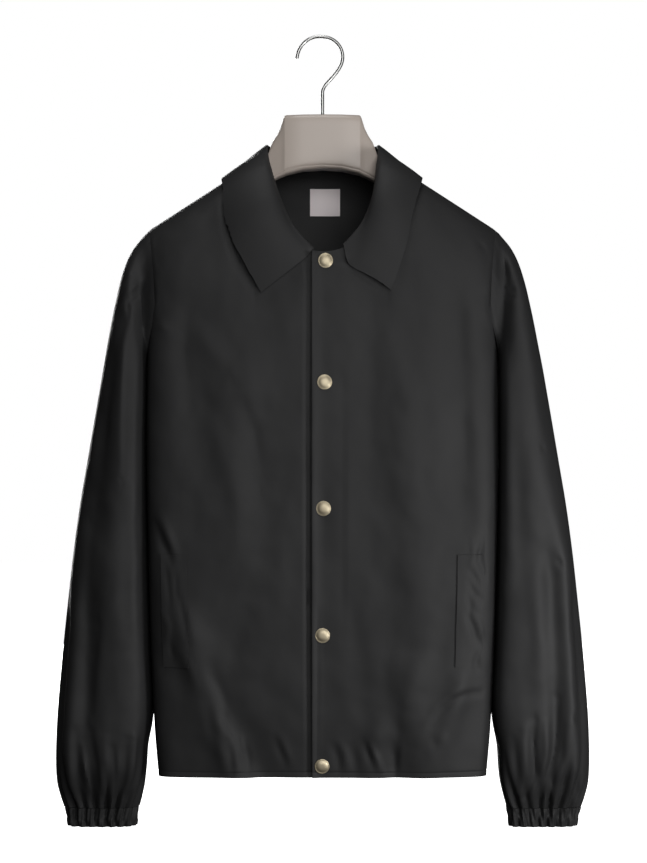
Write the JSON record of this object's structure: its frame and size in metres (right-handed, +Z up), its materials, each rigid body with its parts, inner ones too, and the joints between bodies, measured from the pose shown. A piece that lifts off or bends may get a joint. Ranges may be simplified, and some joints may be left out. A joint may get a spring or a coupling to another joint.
{
  "type": "coach jacket on a hanger",
  "caption": "Hip-length coach jacket with a shirt collar, snap front, welt pockets and elastic cuffs, hanging closed on a contoured hanger with a wire hook.",
  "frame": {"origin": "underside of the hook's crown, where a rail carries it", "axes": "+X the wearer's left, +Y the wearer's back, +Z up"},
  "size_m": [0.611, 0.1671, 0.9071],
  "materials": {
    "shell_cloth": "black nylon taffeta with a soft sheen",
    "cuff_cloth": "black gathered nylon over elastic",
    "label_cloth": "grey satin, blank",
    "snap_metal": "pale gold, softly brushed",
    "hanger_plastic": "greige, satin",
    "hook_wire": "bright"
  },
  "bodies": {
    "root": {"front_left": "shell_cloth", "front_right": "shell_cloth", "back": "shell_cloth", "sleeve_left": "shell_cloth", "sleeve_right": "shell_cloth", "cuff_left": "cuff_cloth", "cuff_right": "cuff_cloth", "collar": "shell_cloth", "pocket_welt_left": "shell_cloth", "pocket_welt_right": "shell_cloth", "neck_label": "label_cloth", "snap_cap_1": "snap_metal", "snap_cap_2": "snap_metal", "snap_cap_3": "snap_metal", "snap_cap_4": "snap_metal", "snap_cap_5": "snap_metal", "hanger_body": "hanger_plastic", "hanger_hook": "hook_wire"}
  },
  "joints": []
}
